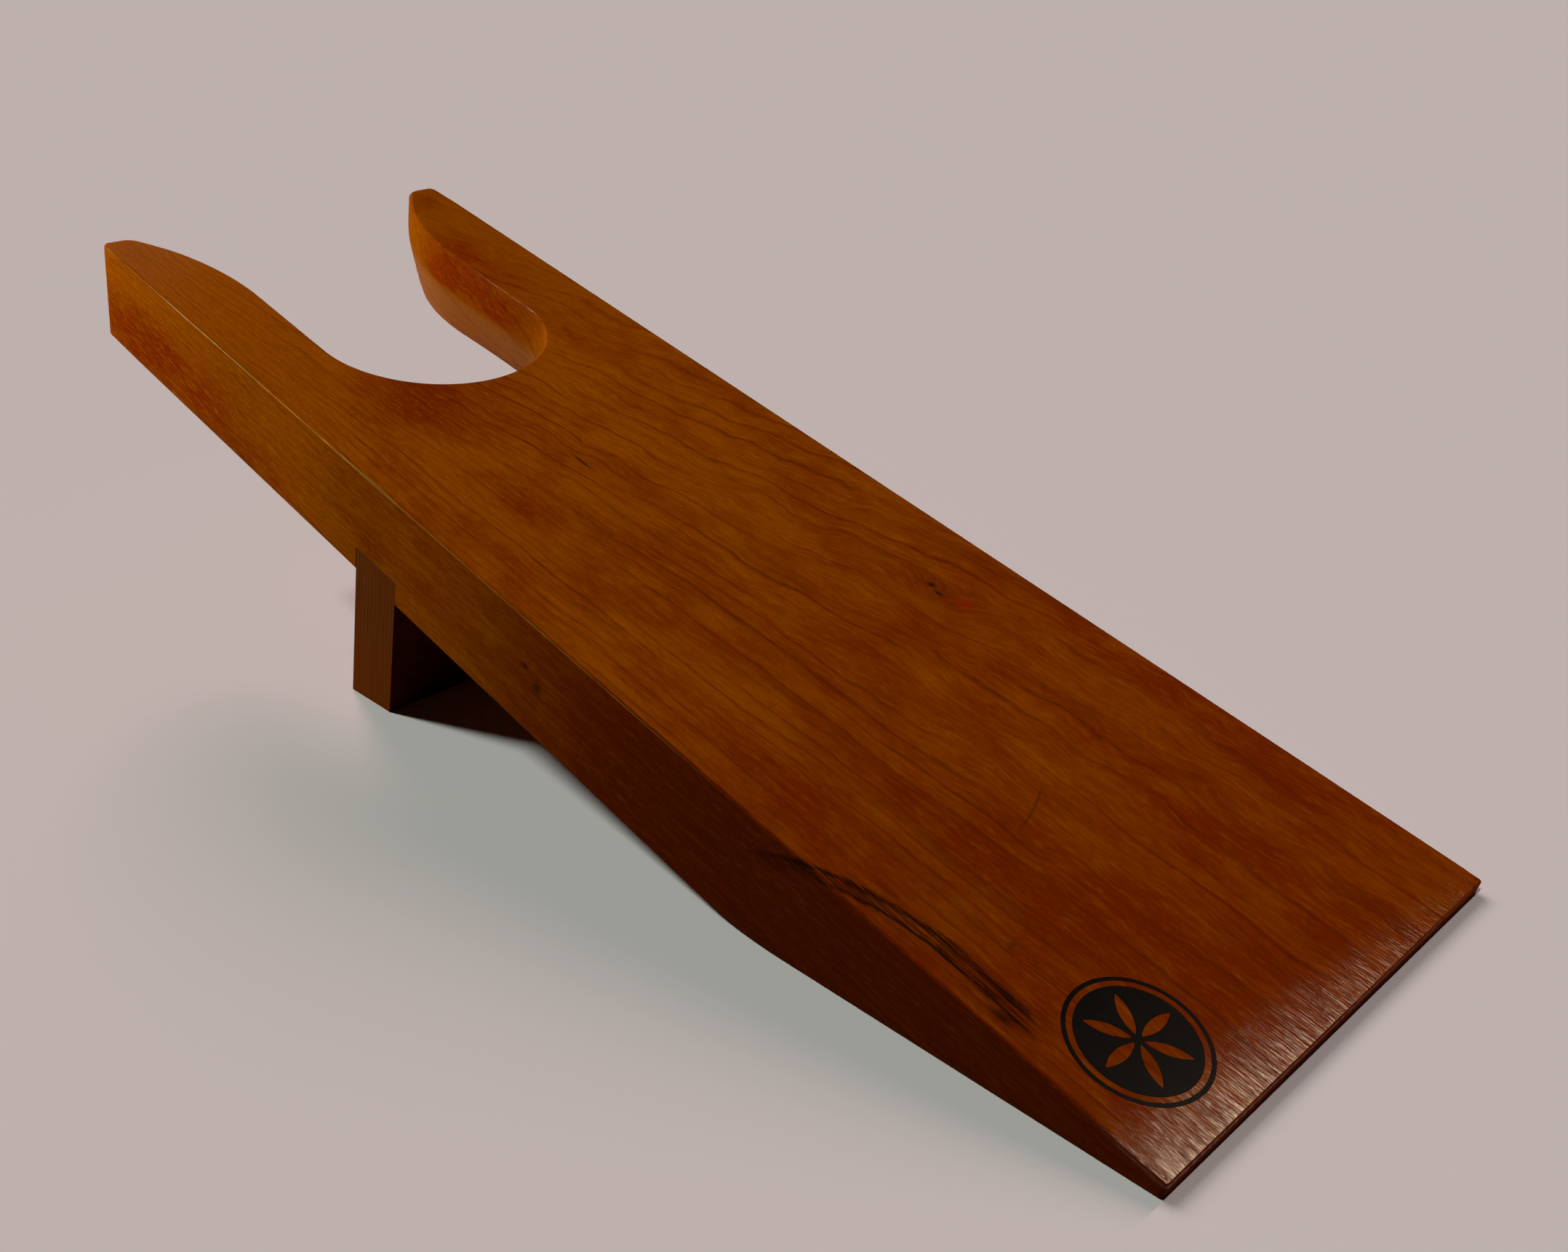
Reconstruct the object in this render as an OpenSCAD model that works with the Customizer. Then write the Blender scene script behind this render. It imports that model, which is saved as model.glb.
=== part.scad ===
// Wooden boot jack. One plank lies on its thin toe at one end and is propped up near the middle by a
// cross foot. The raised end has a U notch, with a horn on each side, that grips the heel of a boot. The
// lower part of the notch's wall is bevelled.
//
// Frame: millimetres, +Z up. +Y runs along the plank from the toe to the horns, and +X runs across it.
// The origin is on the floor, under the middle of the object's box.

/* [Board] */
// Width across the board
board_w = 102; // [94:1:120]
// Length of the board's top face
board_l = 336; // [310:1:370]
// Thickness of the plank
board_t = 26; // [23:0.5:30]
// Thickness left at the toe
toe_t = 3.2; // [2.5:0.1:5]
// Slope of the board to the floor, in degrees
tilt = 15.4; // [13:0.1:18]
// Radius that rounds the wedge cut into the underside
wedge_r = 88; // [50:1:120]
// Rounding of the board's outer corners, seen from above
corner_r = 1.5; // [0.5:0.1:3]

/* [Notch] */
// Width between the notch's straight walls
notch_w = 59; // [52:0.5:64]
// Depth from the tips of the horns to the bottom of the notch
notch_depth = 105; // [95:1:115]
// Distance from the tips back to where the walls begin to flare
flare_l = 43; // [36:1:52]
// Radius of the flare
flare_r = 75; // [65:1:100]
// Rounding between the flare and the end of the horn
tip_r = 5; // [3:0.5:6]
// Distance below the top face where the bevel on the notch's wall begins
bevel_from = 11.3; // [8:0.1:18]
// How far the bevel leans back into the wood by the underside
bevel_in = 5.5; // [3:0.5:7]

/* [Foot] */
// Distance from the toe to the foot, along the board's top face
foot_at = 194.5; // [170:0.5:205]
// Thickness of the foot
foot_t = 16; // [13:0.5:20]
// Depth of the dado that houses the foot
dado_depth = 6; // [4:0.5:9]
// Thickness of the glue between the foot and the floor of the dado
glue_t = 0.2; // [0.1:0.05:0.4]

/* [Mark] */
// Distance of the mark's centre from the board's side
mark_from_side = 18; // [15:0.5:30]
// Distance of the mark's centre from the toe
mark_from_toe = 17.5; // [15:0.5:30]
// Outer diameter of the mark's ring
mark_d = 24; // [18:0.5:28]
// Width of the ring
ring_w = 0.8; // [0.5:0.1:1.5]
// Gap between the ring and the disc
ring_gap = 1; // [0.5:0.1:2]
// Thickness of the mark's inlay
mark_t = 0.4; // [0.3:0.1:0.8]
// Number of petals in the rosette cut through the disc
petals = 6; // [4:1:8]

/* [Hidden] */

// Finest facets for the large radii, and for the small ones
fine = 360;
round_fn = 96;
// How far a cut runs past the face that it opens
over = 1;

wood = [0.66, 0.36, 0.12];
foot_wood = [0.70, 0.45, 0.22];
glue = [0.80, 0.66, 0.38];
ink = [0.05, 0.04, 0.05];

// Height of the board's top edge at the toe, and half the object's length on the floor
lift = toe_t * cos(tilt);
half_y = (board_l * cos(tilt) + board_t * sin(tilt)) / 2;

// Along the board: the sharp corner between the wedge cut and the underside, and the reach of its rounding
wedge_end = (board_t - toe_t) / tan(tilt);
wedge_reach = wedge_r * tan(tilt / 2);

notch_r = notch_w / 2;
notch_centre = board_l - notch_depth + notch_r;
flare_from = board_l - flare_l;
flare_x = notch_r + flare_r;
tip_y = board_l - tip_r;
tip_x = flare_x - sqrt(pow(flare_r - tip_r, 2) - pow(tip_y - flare_from, 2));

disc_r = mark_d / 2 - ring_w - ring_gap;
// The rosette's petals start a little away from its centre and end short of the disc's rim
petal_start = 0.09 * disc_r;
petal_r = 0.76 * disc_r;

// Board coordinates to the object's frame: X across, Y along the top face from the toe, Z out of that face
module on_board() {
    translate([0, -half_y, lift]) rotate([tilt, 0, 0]) children();
}

// A side view, drawn along and out of the top face, made solid over a width and centred across the board
module across(width) {
    rotate([90, 0, 90]) translate([0, 0, -width / 2]) linear_extrude(width) children();
}

// Distance below the top face, at a place along it, where the floor is
function floor_below(y) = toe_t + y * tan(tilt);

// Side view of the board with its wedge-shaped toe
module board_profile() {
    difference() {
        polygon([
            [0, 0], [board_l, 0], [board_l, -board_t], [wedge_end, -board_t], [0, -toe_t]
        ]);
        wedge_waste();
    }
}

// The sliver between the sharp wedge corner and its rounding
module wedge_waste() {
    centre = [wedge_end + wedge_reach, wedge_r - board_t];
    on_wedge = wedge_end - wedge_reach * cos(tilt);
    difference() {
        polygon([
            [on_wedge, -floor_below(on_wedge)],
            [wedge_end, -board_t - over],
            [wedge_end + wedge_reach, -board_t],
        ]);
        translate(centre) circle(wedge_r, $fn = fine);
    }
}

// One horn's side of the notch, seen from above, from its straight wall out to its flared tip
module horn_side() {
    width = board_w / 2;
    intersection() {
        translate([notch_r, notch_centre]) square([width - notch_r, board_l - notch_centre]);
        union() {
            square([width, flare_from]);
            intersection() {
                translate([flare_x, flare_from]) circle(flare_r, $fn = fine);
                union() {
                    square([width, tip_y]);
                    translate([tip_x, 0]) square([width, board_l]);
                }
            }
            translate([tip_x, tip_y]) circle(tip_r, $fn = round_fn);
        }
    }
}

// The waste that the bevel removes from the lower part of the notch's wall
module notch_bevel() {
    tall = board_t + over - bevel_from;
    lean = bevel_in / (board_t - bevel_from);
    out = lean * tall;
    translate([0, notch_centre, -board_t - over])
        cylinder(h = tall, r1 = notch_r + out, r2 = notch_r, $fn = fine);
    translate([0, flare_from, -board_t - over]) rotate([90, 0, 0])
        linear_extrude(flare_from - notch_centre)
            polygon([[-notch_r - out, 0], [notch_r + out, 0], [notch_r, tall], [-notch_r, tall]]);
    for (side = [0, 1]) mirror([side, 0]) translate([0, 0, -board_t - over]) difference() {
        translate([0, flare_from, 0]) cube([flare_x, flare_l + over, tall]);
        translate([flare_x, flare_from, 0])
            cylinder(h = tall, r1 = flare_r - out, r2 = flare_r, $fn = fine);
    }
}

// The waste outside one rounded corner of the board, with the corner at the origin
module corner_waste() {
    difference() {
        translate([-over, -over]) square(corner_r + over);
        translate([corner_r, corner_r]) circle(corner_r, $fn = round_fn);
    }
}

// The board seen from above
module board_plan() {
    difference() {
        union() {
            translate([-board_w / 2, 0]) square([board_w, notch_centre]);
            for (side = [0, 1]) mirror([side, 0]) horn_side();
        }
        translate([0, notch_centre]) circle(notch_r, $fn = fine);
        for (side = [0, 1]) mirror([side, 0]) {
            translate([-board_w / 2, 0]) corner_waste();
            translate([-board_w / 2, board_l]) mirror([0, 1]) corner_waste();
        }
    }
}

// A pointed petal, the lens where two circles cross, pointing along +X from the rosette's centre
module petal() {
    translate([petal_start, 0]) intersection_for (side = [-1, 1])
        translate([petal_r / 2, side * petal_r * sin(60)]) circle(petal_r, $fn = round_fn);
}

module disc_shape() {
    difference() {
        circle(disc_r, $fn = round_fn);
        for (i = [0 : petals - 1]) rotate(360 * i / petals) petal();
    }
}

module ring_shape() {
    difference() {
        circle(mark_d / 2, $fn = round_fn);
        circle(mark_d / 2 - ring_w, $fn = round_fn);
    }
}

// A shape of the mark made solid in its place, from the inlay's depth up to a height above the top face
module inlay(above) {
    translate([mark_from_side - board_w / 2, mark_from_toe, -mark_t])
        linear_extrude(mark_t + above) children();
}

module board() {
    color(wood) on_board() difference() {
        intersection() {
            across(board_w) board_profile();
            translate([0, 0, -board_t - over]) linear_extrude(board_t + 2 * over) board_plan();
        }
        translate([-board_w / 2 - over, foot_at, -board_t - over])
            cube([board_w + 2 * over, foot_t, dado_depth + over]);
        notch_bevel();
        inlay(over) disc_shape();
        inlay(over) ring_shape();
    }
}

// The cross foot stands square to the board in its dado, and its lower face is bevelled to the floor
module foot() {
    top = dado_depth - glue_t - board_t;
    color(foot_wood) on_board() across(board_w) polygon([
        [foot_at, top],
        [foot_at + foot_t, top],
        [foot_at + foot_t, -floor_below(foot_at + foot_t)],
        [foot_at, -floor_below(foot_at)]
    ]);
}

module glue_film() {
    color(glue) on_board() translate([-board_w / 2, foot_at, dado_depth - glue_t - board_t])
        cube([board_w, foot_t, glue_t]);
}

module mark_ring() {
    color(ink) on_board() inlay(0) ring_shape();
}

module mark_disc() {
    color(ink) on_board() inlay(0) disc_shape();
}

board();
foot();
glue_film();
mark_ring();
mark_disc();
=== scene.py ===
"""Looks of the wooden boot jack: varnished board, cross foot, glue film and inlaid mark, on a pale floor."""

import bmesh
import bpy
import math
from mathutils import Matrix, Vector, geometry


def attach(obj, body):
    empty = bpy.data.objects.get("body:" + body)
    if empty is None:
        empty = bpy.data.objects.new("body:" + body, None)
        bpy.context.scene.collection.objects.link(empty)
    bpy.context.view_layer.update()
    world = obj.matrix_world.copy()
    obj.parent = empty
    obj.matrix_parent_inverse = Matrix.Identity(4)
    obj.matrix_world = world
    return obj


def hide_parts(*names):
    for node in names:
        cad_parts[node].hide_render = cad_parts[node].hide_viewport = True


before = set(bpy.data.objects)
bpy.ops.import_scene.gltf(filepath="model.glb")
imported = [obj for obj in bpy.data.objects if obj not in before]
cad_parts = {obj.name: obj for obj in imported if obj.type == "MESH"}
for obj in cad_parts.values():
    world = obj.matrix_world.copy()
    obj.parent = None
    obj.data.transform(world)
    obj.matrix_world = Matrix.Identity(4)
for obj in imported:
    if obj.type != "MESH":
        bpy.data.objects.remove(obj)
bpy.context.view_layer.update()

MM = 0.001

# Board coordinates, in millimetres: x across from the board's near side, y along the top face from the toe,
# and z out of the top face. The board leans on its toe by TILT.
TILT = math.radians(15.4)
WIDTH = 102
LENGTH = 336
THICK = 26
TOE_THICK = 3.2
WEDGE_R = 88
NOTCH_R = 29.5
NOTCH_CENTRE = 260.5
FLARE_FROM = 293
FLARE_R = 75
TIP_R = 5
BEVEL_FROM = 11.3
BEVEL_IN = 5.5
TOE_CORNER = 0.7
HORN_CORNER = 2.6
FOOT_AT = 194.5
FOOT_THICK = 16
DADO = 6
GLUE = 0.2
MARK_AT = (18, 17.5)
MARK_R = 12
RING_W = 0.8
RING_GAP = 1
MARK_DEPTH = 0.4
DISC_R = MARK_R - RING_W - RING_GAP
PETALS = 6
# The rosette's petals start a little away from its centre and end short of the disc's rim
PETAL_START = 0.09 * DISC_R
PETAL_R = 0.76 * DISC_R

# Radii of the board's arrises where they are not worn
SIDE_ARRIS = 0.26
TOE_ARRIS = 0.4
NOTCH_ARRIS = 0.65
UNDER_ARRIS = 0.45
# Over-sanded places on the near top arris: y, the reach of each, and the radius that it adds
WORN_PLACES = ((204, 9, 0.75), (224, 1.2, 0.3), (217, 1.0, 0.4))
# What uneven sanding adds to the near top arris, and what wear adds at the horns' tips
WAVER = 0.07
TIP_WEAR = 0.5
UNDER_TIP_WEAR = 0.3
# Radii of the foot's and the mark's arrises
FOOT_ARRIS = 0.2
MARK_ARRIS = 0.08

# Gaps that keep the pieces from touching: the foot from the dado's walls and from the board's sides, and
# the mark from the floor of its recess
FOOT_GAP = 0.08
FOOT_INSET = 0.02
MARK_GAP = 0.005

# Segments round an arris, and rings of vertices up the board's side
ROUNDING = 6
WALL_RINGS = 14
# The widest step between vertices along a straight side, and the flat rim just inside an arris
SIDE_STEP = 1.6
RIM = 0.8
# The part of the board's length where its underside bends away from the floor
BEND_SPAN = (60, 110)
MARK_SEGMENTS = 96
PETAL_SEGMENTS = 16
# Vertices of a flat face that are closer than this become one
BOARD_WELD = 1e-5
MARK_WELD = 1e-6
# How far the cutters run past the board's sides, its underside and its top face
PAST_SIDE = 5
PAST_UNDER = 3
PAST_TOP = 1
# How little the cutters' upper edges are rounded
CUTTER_ARRIS = 0.01
# Edges sharper than these angles, in degrees, are shaded as crisp
BOARD_CRISP = 30
FOOT_CRISP = 40

HALF = WIDTH / 2
TOP_LIFT = TOE_THICK * math.cos(TILT)
HALF_LENGTH = (LENGTH * math.cos(TILT) + THICK * math.sin(TILT)) / 2

# The board's place in the object's frame, in metres
BOARD_ORIGIN = Vector((-HALF, -HALF_LENGTH, TOP_LIFT)) * MM
BOARD_TO_FRAME = (
    Matrix.Translation(BOARD_ORIGIN) @ Matrix.Rotation(TILT, 4, "X") @ Matrix.Scale(MM, 4)
)


# ---------------------------------------------------------------- meshes

def new_piece(name, mesh_builder):
    """A piece made from a bmesh in board coordinates, placed in the object's frame."""
    mesh_builder.transform(BOARD_TO_FRAME)
    bmesh.ops.recalc_face_normals(mesh_builder, faces=mesh_builder.faces)
    mesh = bpy.data.meshes.new(name)
    mesh_builder.to_mesh(mesh)
    mesh_builder.free()
    piece = bpy.data.objects.new(name, mesh)
    bpy.context.scene.collection.objects.link(piece)
    return piece


def declare(piece, stands_for):
    """Attaches the piece to the root body and hides the CAD node that it stands for."""
    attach(piece, "root")
    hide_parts(stands_for)


def arc(centre, radius, start, end, count):
    """Points on an arc, both ends included, with angles in degrees."""
    points = []
    for i in range(count + 1):
        angle = math.radians(start + (end - start) * i / count)
        points.append((centre[0] + radius * math.cos(angle), centre[1] + radius * math.sin(angle)))
    return points


def divided(start, end, step):
    """Points along a straight line, without its ends."""
    count = max(1, round(math.dist(start, end) / step))
    return [
        (start[0] + (end[0] - start[0]) * i / count, start[1] + (end[1] - start[1]) * i / count)
        for i in range(1, count)
    ]


def half_outline():
    """The outline's half at positive x, measured from the board's middle, from the notch to the toe.

    Each arc ends with its count of segments.
    """
    tip_y = LENGTH - TIP_R
    flare_x = NOTCH_R + FLARE_R
    tip_x = flare_x - math.sqrt((FLARE_R - TIP_R) ** 2 - (tip_y - FLARE_FROM) ** 2)
    reach = math.degrees(math.asin((tip_y - FLARE_FROM) / (FLARE_R - TIP_R)))
    runs = [
        arc((0, NOTCH_CENTRE), NOTCH_R, -90, 0, 48),
        arc((flare_x, FLARE_FROM), FLARE_R, 180, 180 - reach, 36),
        arc((tip_x, tip_y), TIP_R, 180 - reach, 90, 10),
        arc((HALF - HORN_CORNER, LENGTH - HORN_CORNER), HORN_CORNER, 90, 0, 8),
        arc((HALF - TOE_CORNER, TOE_CORNER), TOE_CORNER, 0, -90, 6),
        [(0, 0)],
    ]
    points = []
    for run in runs:
        if points:
            points += divided(points[-1], run[0], SIDE_STEP)
            if math.dist(points[-1], run[0]) < 1e-6:
                run = run[1:]
        points += run
    return points


def outline():
    """The whole outline in board coordinates, anticlockwise seen from above."""
    half = half_outline()
    right = [(HALF + x, y) for x, y in reversed(half)]
    left = [(HALF - x, y) for x, y in half[1:-1]]
    return right + left


def inward(points):
    """For each outline point, the step that moves it 1 mm in from both of its neighbouring edges."""
    steps = []
    for i, here in enumerate(points):
        before = Vector(here) - Vector(points[i - 1])
        after = Vector(points[(i + 1) % len(points)]) - Vector(here)
        normals = [Vector((-d.y, d.x)).normalized() for d in (before, after)]
        middle = (normals[0] + normals[1]).normalized()
        # At a very sharp corner, the step is limited to twice the distance
        steps.append(middle / max(0.5, middle.dot(normals[0])))
    return steps


def ramp(value, low, high):
    """0 below low, 1 above high, and smooth between."""
    t = min(1, max(0, (value - low) / (high - low)))
    return t * t * (3 - 2 * t)


def bump(value, centre, width):
    """1 at a centre, falling away on both sides of it."""
    return math.exp(-((value - centre) / width) ** 2)


def top_arris(x, y):
    """Radius of the arris round the top face. It is worn at the horns' tips and over-sanded by the foot."""
    in_notch = 2 < x < WIDTH - 2 and y > 100
    radius = NOTCH_ARRIS if in_notch else SIDE_ARRIS
    if y < 3:
        radius = TOE_ARRIS
    if x < 2:
        radius += sum(extra * bump(y, place, reach) for place, reach, extra in WORN_PLACES)
        radius += WAVER * math.sin(y / 7.3) * math.sin(y / 2.9 + 1)
    return radius + TIP_WEAR * ramp(y, 322, 334)


def under_arris(y):
    """Radius of the arris round the underside."""
    return UNDER_ARRIS + UNDER_TIP_WEAR * ramp(y, 315, 333)


def notch_side(x, y):
    """1 on the notch's wall and the inner side of the horns' tips, and 0 round the rest of the outline."""
    inside = NOTCH_CENTRE - NOTCH_R - 1 < y and 4 < x < WIDTH - 4
    middle = abs(x - HALF)
    return ramp(HALF - 4 - middle, 0, 3) if inside else 0


def bevel(x, y, depth):
    """How far the notch's wall leans back into the wood at a depth below the top face.

    The lean begins softly, and it is deeper at the bottom of the notch than by the horns' tips.
    """
    lean = (depth - BEVEL_FROM) / (THICK - BEVEL_FROM)
    soft = 0.14
    rounded = (lean + math.sqrt(lean * lean + soft * soft)) / 2 if lean > -1 else 0
    deepest = BEVEL_IN + 0.9 - 2.2 * ramp(y, 268, 320)
    return notch_side(x, y) * deepest * min(rounded, 1.02)


def under_face(y):
    """Height of the underside: on the floor at the toe, then a rounded bend, then parallel to the top."""
    slope = math.tan(TILT)
    bend = (THICK - TOE_THICK) / slope
    reach = WEDGE_R * math.tan(TILT / 2)
    if y < bend - reach * math.cos(TILT):
        return -(TOE_THICK + y * slope)
    if y < bend + reach:
        return WEDGE_R - THICK - math.sqrt(WEDGE_R ** 2 - (y - bend - reach) ** 2)
    return -THICK


def fill(builder, ring, height, inner_edges=()):
    """Closes a ring of vertices with triangles, at the height that a function of y gives."""
    flat = [Vector((v.co.x, v.co.y)) for v in ring]
    count = len(ring)
    edges = [(i, (i + 1) % count) for i in range(count)] + list(inner_edges)
    points, _, faces, source, _, _ = geometry.delaunay_2d_cdt(flat, edges, [], 1, BOARD_WELD)
    verts = []
    for point, origin in zip(points, source):
        if origin:
            verts.append(ring[origin[0]])
        else:
            verts.append(builder.verts.new((point.x, point.y, height(point.y))))
    for face in faces:
        builder.faces.new([verts[i] for i in face])


def join(builder, below, above):
    """Adds the faces between two rings of vertices."""
    count = len(below)
    for i in range(count):
        j = (i + 1) % count
        builder.faces.new((below[i], below[j], above[j], above[i]))


def outline_ring(builder, points, steps, inset, height):
    """One ring of vertices round the outline, moved in and placed at a height by functions of the place."""
    ring = []
    for (x, y), step in zip(points, steps):
        shift = inset(x, y)
        moved = (x + step.x * shift, y + step.y * shift)
        ring.append(builder.verts.new((moved[0], moved[1], height(x, y, moved[1]))))
    return ring


def board_rings(builder, points, steps):
    """Rings from the underside, round its arris, up the wall and round the top arris."""
    rings = []

    def add(inset, height):
        rings.append(outline_ring(builder, points, steps, inset, height))

    def under_inset(x, y):
        return bevel(x, y, THICK)

    add(lambda x, y: under_inset(x, y) + under_arris(y) + RIM, lambda x, y, moved: under_face(moved))
    for i in range(ROUNDING, -1, -1):
        angle = math.pi / 2 * i / ROUNDING
        add(
            lambda x, y: under_inset(x, y) + under_arris(y) * (1 - math.cos(angle)),
            lambda x, y, moved: under_face(moved) + under_arris(y) * (1 - math.sin(angle)),
        )
    for i in range(1, WALL_RINGS):
        share = i / WALL_RINGS

        def wall_height(x, y, moved=0):
            low = under_face(y) + under_arris(y)
            return low + (-top_arris(x, y) - low) * share

        add(lambda x, y: bevel(x, y, -wall_height(x, y)), wall_height)
    for i in range(ROUNDING + 1):
        angle = math.pi / 2 * i / ROUNDING
        add(
            lambda x, y: top_arris(x, y) * (1 - math.cos(angle)),
            lambda x, y, moved: -top_arris(x, y) * (1 - math.sin(angle)),
        )
    add(lambda x, y: top_arris(x, y) + RIM, lambda x, y, moved: 0)
    return rings


def board_body():
    """The board before its dado and its mark's recess are cut."""
    builder = bmesh.new()
    points = outline()
    rings = board_rings(builder, points, inward(points))
    for low, high in zip(rings, rings[1:]):
        join(builder, low, high)
    fill(builder, rings[0], under_face, edges_across(points))
    fill(builder, rings[-1], lambda y: 0)
    return builder


def edges_across(points):
    """Edges straight across the underside's bend, so that its faces follow the curve."""
    places = {(round(x, 4), round(y, 4)): i for i, (x, y) in enumerate(points)}
    edges = []
    for i, (x, y) in enumerate(points):
        if x > WIDTH - 0.01 and BEND_SPAN[0] < y < BEND_SPAN[1]:
            edges.append((i, places[(round(WIDTH - x, 4), round(y, 4))]))
    return edges


def prism(builder, bottom, top):
    """Closes a prism between two loops of places."""
    below = [builder.verts.new(place) for place in bottom]
    above = [builder.verts.new(place) for place in top]
    join(builder, below, above)
    builder.faces.new(reversed(below))
    builder.faces.new(above)


def circle_loop(centre, radius, count):
    return arc(centre, radius, 0, 360, count)[:-1]


def petal_loop(turn):
    """A pointed petal of the rosette: the lens where two circles cross, turned about the mark's centre."""
    middle = PETAL_START + PETAL_R / 2
    height = PETAL_R * math.sin(math.radians(60))
    right = arc((middle, height), PETAL_R, -120, -60, PETAL_SEGMENTS)
    left = arc((middle, -height), PETAL_R, 60, 120, PETAL_SEGMENTS)
    loop = right + left[1:-1]
    cosine = math.cos(turn)
    sine = math.sin(turn)
    return [(MARK_AT[0] + x * cosine - y * sine, MARK_AT[1] + x * sine + y * cosine) for x, y in loop]


def inlay_wall(builder, loop, low, high, soft):
    """Adds the wall over one edge of an inlay, rounded at the top. Returns its lowest and highest rings."""
    steps = inward(loop)
    stack = []
    for shift, level in ((0, low), (0, high - soft), (soft * 0.3, high - soft * 0.3), (soft, high)):
        ring = []
        for (x, y), step in zip(loop, steps):
            ring.append(builder.verts.new((x + step.x * shift, y + step.y * shift, level)))
        stack.append(ring)
    for below, above in zip(stack, stack[1:]):
        join(builder, below, above)
    return stack[0], stack[-1]


def inlay_face(builder, rings, holes):
    """Adds an inlay's flat face within its outer ring and outside its holes."""
    verts = []
    edges = []
    for ring in rings:
        start = len(verts)
        edges += [(start + i, start + (i + 1) % len(ring)) for i in range(len(ring))]
        verts += ring
    plan = [Vector((v.co.x, v.co.y)) for v in verts]
    points, _, faces, source, _, _ = geometry.delaunay_2d_cdt(plan, edges, [], 1, MARK_WELD)
    for face in faces:
        middle = sum((points[i] for i in face), Vector((0, 0))) / len(face)
        if not any(inside(middle, hole) for hole in holes):
            builder.faces.new([verts[source[i][0]] for i in face])


def flat_inlay(outer, holes, low, high, soft):
    """A thin plate with holes, whose upper edges are rounded by a small amount."""
    builder = bmesh.new()
    loops = [outer] + [list(reversed(hole)) for hole in holes]
    walls = [inlay_wall(builder, loop, low, high, soft) for loop in loops]
    for rings in zip(*walls):
        inlay_face(builder, rings, holes)
    return builder


def inside(point, loop):
    """True where a point is within a closed loop."""
    odd = False
    for i, (x, y) in enumerate(loop):
        x0, y0 = loop[i - 1]
        if (y > point.y) != (y0 > point.y):
            if point.x < (x0 - x) * (point.y - y) / (y0 - y) + x:
                odd = not odd
    return odd


def cut(piece, builders):
    """Takes the shapes away from a piece and leaves no modifier on it."""
    for builder in builders:
        tool = new_piece("cutter", builder)
        modifier = piece.modifiers.new("cut", "BOOLEAN")
        modifier.operation = "DIFFERENCE"
        modifier.solver = "EXACT"
        modifier.object = tool
        apply_modifiers(piece)
        bpy.data.objects.remove(tool)


def apply_modifiers(piece):
    bpy.context.view_layer.update()
    graph = bpy.context.evaluated_depsgraph_get()
    mesh = bpy.data.meshes.new_from_object(piece.evaluated_get(graph))
    piece.modifiers.clear()
    piece.data = mesh


def finish_shading(piece, sharp):
    """Smooth shading that keeps flat faces flat, with edges sharper than an angle left crisp."""
    piece.data.shade_smooth()
    piece.data.set_sharp_from_angle(angle=math.radians(sharp))
    # Large faces pull the normals of the small ones round them towards their own
    weighted = piece.modifiers.new("flat faces first", "WEIGHTED_NORMAL")
    weighted.keep_sharp = True
    weighted.weight = 80


def block(low, high):
    """A box between two opposite corners."""
    builder = bmesh.new()
    loop = [(low[0], low[1]), (high[0], low[1]), (high[0], high[1]), (low[0], high[1])]
    prism(builder, [(x, y, low[2]) for x, y in loop], [(x, y, high[2]) for x, y in loop])
    return builder


def foot_body():
    """The cross foot, with its lower face bevelled to the floor and all its arrises eased."""
    builder = bmesh.new()
    slope = math.tan(TILT)
    y0 = FOOT_AT + FOOT_GAP
    y1 = FOOT_AT + FOOT_THICK - FOOT_GAP
    top = DADO - GLUE - THICK
    side = [(y0, top), (y1, top), (y1, -TOE_THICK - y1 * slope), (y0, -TOE_THICK - y0 * slope)]
    near = [(FOOT_INSET, y, z) for y, z in side]
    far = [(WIDTH - FOOT_INSET, y, z) for y, z in side]
    prism(builder, near, far)
    bmesh.ops.recalc_face_normals(builder, faces=builder.faces)
    edges = list(builder.edges)
    bmesh.ops.bevel(builder, geom=edges, offset=FOOT_ARRIS, segments=2, profile=0.5, affect="EDGES")
    return builder


# ---------------------------------------------------------------- materials

class Field:
    """A number or a vector that a material works out at each point of a surface."""

    def __init__(self, tree, socket):
        self.tree = tree
        self.socket = socket

    def math(self, operation, *others):
        node = self.tree.nodes.new("ShaderNodeMath")
        node.operation = operation
        for place, value in enumerate((self,) + others):
            feed(self.tree, value, node.inputs[place])
        return Field(self.tree, node.outputs[0])

    def __add__(self, other):
        return self.math("ADD", other)

    __radd__ = __add__

    def __sub__(self, other):
        return self.math("SUBTRACT", other)

    def __rsub__(self, other):
        return (self * -1) + other

    def __mul__(self, other):
        return self.math("MULTIPLY", other)

    __rmul__ = __mul__

    def __truediv__(self, other):
        return self.math("DIVIDE", other)

    def __abs__(self):
        return self.math("ABSOLUTE")

    def at_least(self, low):
        return self.math("MAXIMUM", low)

    def at_most(self, high):
        return self.math("MINIMUM", high)

    def step(self, low, high):
        """0 below low, 1 above high, and smooth between. It falls instead where low is above high."""
        node = self.tree.nodes.new("ShaderNodeMapRange")
        node.interpolation_type = "SMOOTHSTEP"
        node.inputs["From Min"].default_value = min(low, high)
        node.inputs["From Max"].default_value = max(low, high)
        node.inputs["To Min"].default_value = 0 if low < high else 1
        node.inputs["To Max"].default_value = 1 if low < high else 0
        feed(self.tree, self, node.inputs["Value"])
        return Field(self.tree, node.outputs[0])

    def hill(self, centre, width):
        """1 at a centre, falling away on both sides of it."""
        offset = (self - centre) / width
        return (offset * offset * -1).math("EXPONENT")


def feed(tree, value, socket):
    """Gives a socket a field or a fixed value."""
    if isinstance(value, Field):
        tree.links.new(value.socket, socket)
    else:
        socket.default_value = value


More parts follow.
